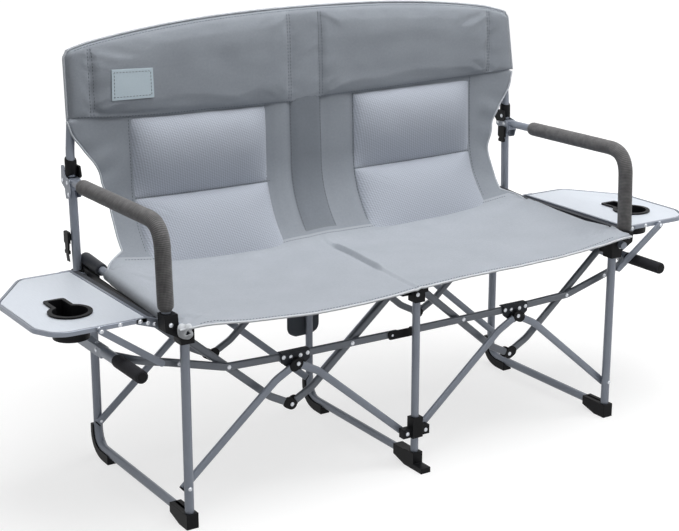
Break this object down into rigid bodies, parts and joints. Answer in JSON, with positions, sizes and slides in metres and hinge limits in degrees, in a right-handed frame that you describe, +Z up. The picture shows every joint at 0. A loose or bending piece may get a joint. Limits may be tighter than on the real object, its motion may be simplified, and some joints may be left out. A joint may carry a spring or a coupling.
{
  "type": "folding camping loveseat",
  "caption": "Folding camp bench seat for sitting side by side, cloth sling on a scissor frame of steel tube, with armrests and drop side tables holding a cup.",
  "frame": {"origin": "on the floor under the middle of the object's box, with the seat unfolded", "axes": "+X to the sitter's left, the picture's right; +Y to the rear; +Z up"},
  "size_m": [1.732, 0.5368, 1],
  "materials": {
    "paint": "semi-gloss blue-grey powder coat",
    "plastic": "matte black moulded plastic",
    "foam": "matte dark grey foam sleeve",
    "table_sheet": "satin silver sheet with a thin edge",
    "seat_cloth": "plain woven pale grey polyester",
    "back_cloth": "plain woven grey polyester with lighter mesh pads"
  },
  "bodies": {
    "centre_frame": {"centre_front_leg": "paint", "centre_rear_leg": "paint", "centre_front_foot": "plastic", "centre_rear_foot": "plastic", "centre_collar": "plastic", "centre_seat_rail": "plastic", "seat_cloth": "seat_cloth", "lower_back_cloth": "back_cloth"},
    "centre_back": {"centre_back_post": "paint", "upper_back_cloth": "back_cloth"},
    "right_side_frame": {"right_front_leg": "paint", "right_rear_leg": "paint", "right_front_foot": "plastic", "right_rear_foot": "plastic", "right_front_bracket": "plastic", "right_rear_bracket": "plastic", "right_seat_rail": "paint", "right_upright": "paint", "right_armrest": "foam"},
    "right_upper_inner_links": {"right_front_upper_inner_link": "paint", "right_rear_upper_inner_link": "paint"},
    "right_upper_outer_links": {"right_front_upper_outer_link": "paint", "right_rear_upper_outer_link": "paint"},
    "right_lower_inner_links": {"right_front_lower_inner_link": "paint", "right_rear_lower_inner_link": "paint"},
    "right_lower_outer_links": {"right_front_lower_outer_link": "paint", "right_rear_lower_outer_link": "paint"},
    "right_sleeve": {"right_bar_hinge_sleeve": "plastic"},
    "right_outer_bar": {"right_outer_spreader_bar": "paint", "right_handle_grip": "foam"},
    "right_inner_bar": {"right_inner_spreader_bar": "paint"},
    "right_table": {"right_side_table": "table_sheet", "right_cup_holder": "plastic"},
    "right_strut": {"right_table_strut": "paint"},
    "right_back": {"right_back_post": "paint"},
    "left_side_frame": {"left_front_leg": "paint", "left_rear_leg": "paint", "left_front_foot": "plastic", "left_rear_foot": "plastic", "left_front_bracket": "plastic", "left_rear_bracket": "plastic", "left_seat_rail": "paint", "left_upright": "paint", "left_armrest": "foam"},
    "left_upper_inner_links": {"left_front_upper_inner_link": "paint", "left_rear_upper_inner_link": "paint"},
    "left_upper_outer_links": {"left_front_upper_outer_link": "paint", "left_rear_upper_outer_link": "paint"},
    "left_lower_inner_links": {"left_front_lower_inner_link": "paint", "left_rear_lower_inner_link": "paint"},
    "left_lower_outer_links": {"left_front_lower_outer_link": "paint", "left_rear_lower_outer_link": "paint"},
    "left_sleeve": {"left_bar_hinge_sleeve": "plastic"},
    "left_outer_bar": {"left_outer_spreader_bar": "paint", "left_handle_grip": "foam"},
    "left_inner_bar": {"left_inner_spreader_bar": "paint"},
    "left_table": {"left_side_table": "table_sheet", "left_cup_holder": "plastic"},
    "left_strut": {"left_table_strut": "paint"},
    "left_back": {"left_back_post": "paint"}
  },
  "joints": [
    {"name": "fold", "type": "hinge", "parent": "centre_frame", "child": "right_upper_inner_links", "pos_m": [0.025, 0.0056, 0.422], "axis": [0, 1, 0], "range_deg": [0, 38], "deforming": ["seat_cloth", "lower_back_cloth", "upper_back_cloth"]},
    {"name": "right_upper_joint", "type": "hinge", "parent": "right_upper_inner_links", "child": "right_upper_outer_links", "pos_m": [0.3, 0.0056, 0.204], "axis": [0, -1, 0], "range_deg": [0, 76]},
    {"name": "right_upper_outer_pivot", "type": "hinge", "parent": "right_upper_outer_links", "child": "right_side_frame", "pos_m": [0.575, 0.0056, 0.422], "axis": [0, 1, 0], "range_deg": [0, 38]},
    {"name": "right_lower_inner_pivot", "type": "hinge", "parent": "centre_frame", "child": "right_lower_inner_links", "pos_m": [0.025, 0.0056, 0.088], "axis": [0, -1, 0], "range_deg": [0, 38]},
    {"name": "right_lower_outer_pivot", "type": "hinge", "parent": "right_side_frame", "child": "right_lower_outer_links", "pos_m": [0.575, 0.0056, 0.088], "axis": [0, 1, 0], "range_deg": [0, 38]},
    {"name": "right_sleeve_pivot", "type": "hinge", "parent": "right_lower_inner_links", "child": "right_sleeve", "pos_m": [0.3, 0.0056, 0.306], "axis": [0, 1, 0], "range_deg": [0, 38]},
    {"name": "right_outer_bar_pivot", "type": "hinge", "parent": "right_sleeve", "child": "right_outer_bar", "pos_m": [0.312, 0.0056, 0.32], "axis": [0, 1, 0], "range_deg": [0, 78.3]},
    {"name": "right_inner_bar_pivot", "type": "hinge", "parent": "right_sleeve", "child": "right_inner_bar", "pos_m": [0.288, 0.0056, 0.32], "axis": [0, -1, 0], "range_deg": [0, 78.3]},
    {"name": "right_table_hinge", "type": "hinge", "parent": "right_side_frame", "child": "right_table", "pos_m": [0.612, 0.0056, 0.447], "axis": [0, 1, 0], "range_deg": [0, 90]},
    {"name": "right_strut_pivot", "type": "hinge", "parent": "right_table", "child": "right_strut", "pos_m": [0.747, -0.2014, 0.459], "axis": [0, -1, 0], "range_deg": [0, 140.4]},
    {"name": "left_upper_inner_pivot", "type": "hinge", "parent": "centre_frame", "child": "left_upper_inner_links", "pos_m": [-0.025, 0.0056, 0.422], "axis": [0, -1, 0], "range_deg": [0, 38]},
    {"name": "left_upper_joint", "type": "hinge", "parent": "left_upper_inner_links", "child": "left_upper_outer_links", "pos_m": [-0.3, 0.0056, 0.204], "axis": [0, 1, 0], "range_deg": [0, 76]},
    {"name": "left_upper_outer_pivot", "type": "hinge", "parent": "left_upper_outer_links", "child": "left_side_frame", "pos_m": [-0.575, 0.0056, 0.422], "axis": [0, -1, 0], "range_deg": [0, 38]},
    {"name": "left_lower_inner_pivot", "type": "hinge", "parent": "centre_frame", "child": "left_lower_inner_links", "pos_m": [-0.025, 0.0056, 0.088], "axis": [0, 1, 0], "range_deg": [0, 38]},
    {"name": "left_lower_outer_pivot", "type": "hinge", "parent": "left_side_frame", "child": "left_lower_outer_links", "pos_m": [-0.575, 0.0056, 0.088], "axis": [0, -1, 0], "range_deg": [0, 38]},
    {"name": "left_sleeve_pivot", "type": "hinge", "parent": "left_lower_inner_links", "child": "left_sleeve", "pos_m": [-0.3, 0.0056, 0.306], "axis": [0, -1, 0], "range_deg": [0, 38]},
    {"name": "left_outer_bar_pivot", "type": "hinge", "parent": "left_sleeve", "child": "left_outer_bar", "pos_m": [-0.312, 0.0056, 0.32], "axis": [0, -1, 0], "range_deg": [0, 78.3]},
    {"name": "left_inner_bar_pivot", "type": "hinge", "parent": "left_sleeve", "child": "left_inner_bar", "pos_m": [-0.288, 0.0056, 0.32], "axis": [0, 1, 0], "range_deg": [0, 78.3]},
    {"name": "left_table_hinge", "type": "hinge", "parent": "left_side_frame", "child": "left_table", "pos_m": [-0.612, 0.0056, 0.447], "axis": [0, -1, 0], "range_deg": [0, 90]},
    {"name": "left_strut_pivot", "type": "hinge", "parent": "left_table", "child": "left_strut", "pos_m": [-0.747, -0.2014, 0.459], "axis": [0, 1, 0], "range_deg": [0, 140.4]},
    {"name": "back_fold", "type": "hinge", "parent": "centre_frame", "child": "centre_back", "pos_m": [0, 0.25484, 0.655], "axis": [-1, 0, 0], "range_deg": [0, 172]},
    {"name": "right_back_fold", "type": "hinge", "parent": "right_side_frame", "child": "right_back", "pos_m": [0.607, 0.25484, 0.655], "axis": [-1, 0, 0], "range_deg": [0, 172]},
    {"name": "left_back_fold", "type": "hinge", "parent": "left_side_frame", "child": "left_back", "pos_m": [-0.607, 0.25484, 0.655], "axis": [-1, 0, 0], "range_deg": [0, 172]}
  ],
  "couplings": [
    {"joint": "right_upper_joint", "follows": "fold", "ratio": 2},
    {"joint": "right_upper_outer_pivot", "follows": "fold", "ratio": 1},
    {"joint": "right_lower_inner_pivot", "follows": "fold", "ratio": 1},
    {"joint": "right_lower_outer_pivot", "follows": "fold", "ratio": 1},
    {"joint": "right_sleeve_pivot", "follows": "fold", "ratio": 1},
    {"joint": "right_outer_bar_pivot", "follows": "fold", "ratio": 2.0605},
    {"joint": "right_inner_bar_pivot", "follows": "fold", "ratio": 2.0605},
    {"joint": "right_table_hinge", "follows": "fold", "ratio": 2.3684},
    {"joint": "right_strut_pivot", "follows": "fold", "ratio": 3.6947},
    {"joint": "left_upper_inner_pivot", "follows": "fold", "ratio": 1},
    {"joint": "left_upper_joint", "follows": "fold", "ratio": 2},
    {"joint": "left_upper_outer_pivot", "follows": "fold", "ratio": 1},
    {"joint": "left_lower_inner_pivot", "follows": "fold", "ratio": 1},
    {"joint": "left_lower_outer_pivot", "follows": "fold", "ratio": 1},
    {"joint": "left_sleeve_pivot", "follows": "fold", "ratio": 1},
    {"joint": "left_outer_bar_pivot", "follows": "fold", "ratio": 2.0605},
    {"joint": "left_inner_bar_pivot", "follows": "fold", "ratio": 2.0605},
    {"joint": "left_table_hinge", "follows": "fold", "ratio": 2.3684},
    {"joint": "left_strut_pivot", "follows": "fold", "ratio": 3.6947},
    {"joint": "right_back_fold", "follows": "back_fold", "ratio": 1},
    {"joint": "left_back_fold", "follows": "back_fold", "ratio": 1}
  ]
}
